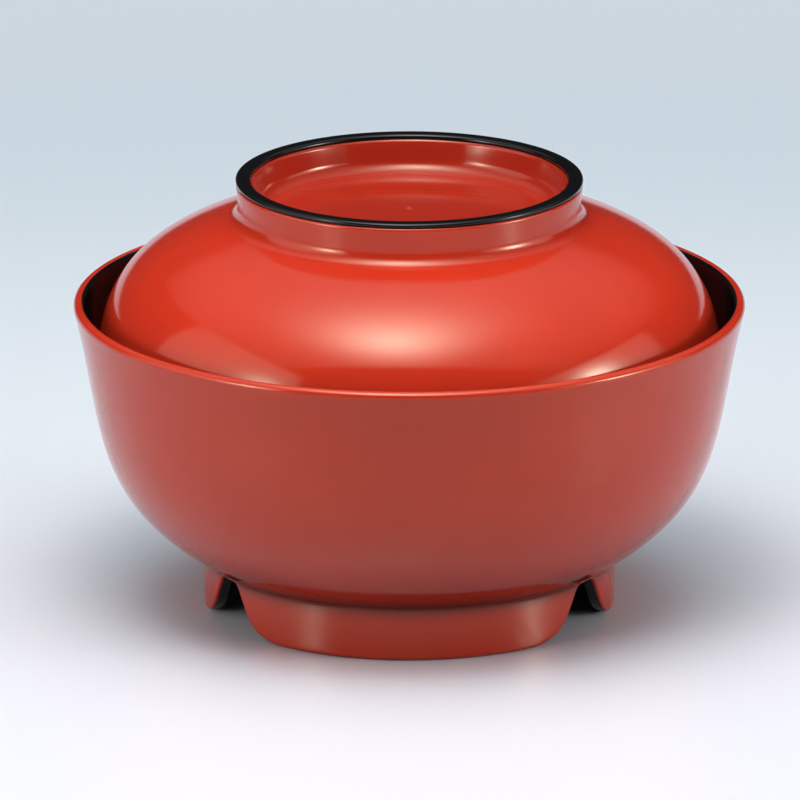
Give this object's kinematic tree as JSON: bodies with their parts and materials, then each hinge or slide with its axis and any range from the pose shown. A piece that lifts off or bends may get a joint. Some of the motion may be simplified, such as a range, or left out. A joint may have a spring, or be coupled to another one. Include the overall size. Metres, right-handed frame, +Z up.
{
  "type": "lidded lacquer bowl",
  "caption": "Deep round bowl on a notched foot ring, with a domed lid that drops inside its rim and is lifted by the ring on top; vermilion outside, black inside.",
  "frame": {"origin": "centre of the circle that the foot ring stands on, at table height", "axes": "+Z up along the bowl's axis; -Y is the front that the picture shows, the middle of one segment of the foot ring; +X is to the right seen from the front"},
  "size_m": [0.148, 0.148, 0.0973],
  "materials": {
    "vermilion_lacquer": "gloss",
    "black_lacquer": "gloss"
  },
  "bodies": {
    "bowl": {"bowl_body": "vermilion_lacquer", "bowl_inside_lacquer": "black_lacquer", "foot_well_lacquer": "black_lacquer"},
    "lid": {"lid_body": "vermilion_lacquer", "lid_inside_lacquer": "black_lacquer", "lid_ring_edge_lacquer": "black_lacquer"}
  },
  "joints": [
    {"name": "lid_lift", "type": "slide", "parent": "bowl", "child": "lid", "axis": [0, 0, 1], "range_m": [0, 0.1]}
  ]
}
